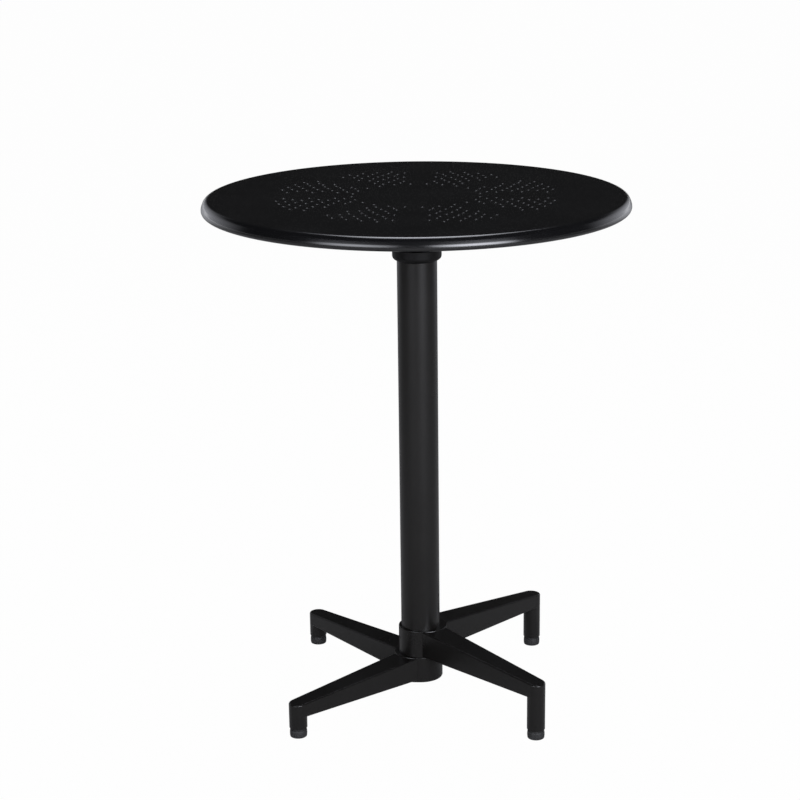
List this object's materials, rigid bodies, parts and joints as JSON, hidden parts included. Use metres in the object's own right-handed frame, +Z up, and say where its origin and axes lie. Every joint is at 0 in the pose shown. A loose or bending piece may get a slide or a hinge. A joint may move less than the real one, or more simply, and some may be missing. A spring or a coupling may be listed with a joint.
{
  "type": "bistro table",
  "caption": "Round bistro table with a perforated steel top that tilts upright on a latch, on a column with a nesting base of low and high arms and levelling feet.",
  "frame": {"origin": "on the floor, under the column axis", "axes": "+Z up along the column; the two high arms are on the +X side and the two low arms on the -X side; the top tilts about an axis along Y"},
  "size_m": [0.6, 0.6, 0.745],
  "materials": {
    "gloss_black_powder_coat": "smooth semi-gloss black powder coat",
    "satin_black_powder_coat": "fine satin black powder coat",
    "zinc_plated_steel": "bright zinc plating",
    "black_nylon": "moulded black nylon",
    "dark_grey_plastic": "moulded dark grey plastic"
  },
  "bodies": {
    "base": {"column_tube": "satin_black_powder_coat", "column_head": "satin_black_powder_coat", "upper_base": "satin_black_powder_coat", "lower_base": "satin_black_powder_coat", "base_dowel": "zinc_plated_steel", "tie_rod": "zinc_plated_steel", "tie_washer": "zinc_plated_steel", "tie_nut": "zinc_plated_steel", "pivot_bolt": "zinc_plated_steel", "pivot_nut": "zinc_plated_steel", "pivot_bush_back": "black_nylon", "pivot_bush_front": "black_nylon", "latch_keeper": "zinc_plated_steel", "foot_insert_back_left": "zinc_plated_steel", "foot_insert_front_left": "zinc_plated_steel", "foot_insert_back_right": "zinc_plated_steel", "foot_insert_front_right": "zinc_plated_steel"},
    "tilting_top": {"table_top": "gloss_black_powder_coat", "top_plate": "satin_black_powder_coat", "tilt_bracket": "satin_black_powder_coat", "bracket_screw_1": "zinc_plated_steel", "bracket_screw_2": "zinc_plated_steel", "bracket_screw_3": "zinc_plated_steel", "bracket_screw_4": "zinc_plated_steel", "latch_pin": "zinc_plated_steel", "latch_spring": "zinc_plated_steel"},
    "latch": {"latch_lever": "satin_black_powder_coat"},
    "foot_back_left": {"foot_stud_back_left": "zinc_plated_steel", "foot_pad_back_left": "dark_grey_plastic"},
    "foot_front_left": {"foot_stud_front_left": "zinc_plated_steel", "foot_pad_front_left": "dark_grey_plastic"},
    "foot_back_right": {"foot_stud_back_right": "zinc_plated_steel", "foot_pad_back_right": "dark_grey_plastic"},
    "foot_front_right": {"foot_stud_front_right": "zinc_plated_steel", "foot_pad_front_right": "dark_grey_plastic"}
  },
  "joints": [
    {"name": "top_tilt", "type": "hinge", "parent": "base", "child": "tilting_top", "pos_m": [0.018, 0, 0.6899], "axis": [0, 1, 0], "range_deg": [0, 90]},
    {"name": "latch_release", "type": "hinge", "parent": "tilting_top", "child": "latch", "pos_m": [-0.05, 0, 0.7219], "axis": [0, 1, 0], "range_deg": [0, 10], "stiffness_Nm_per_rad": 0.4, "springref_deg": -22.92, "deforming": ["latch_spring"]},
    {"name": "foot_back_left_level", "type": "slide", "parent": "base", "child": "foot_back_left", "axis": [0, 0, -1], "range_m": [0, 0.008]},
    {"name": "foot_front_left_level", "type": "slide", "parent": "base", "child": "foot_front_left", "axis": [0, 0, -1], "range_m": [0, 0.008]},
    {"name": "foot_back_right_level", "type": "slide", "parent": "base", "child": "foot_back_right", "axis": [0, 0, -1], "range_m": [0, 0.008]},
    {"name": "foot_front_right_level", "type": "slide", "parent": "base", "child": "foot_front_right", "axis": [0, 0, -1], "range_m": [0, 0.008]}
  ]
}
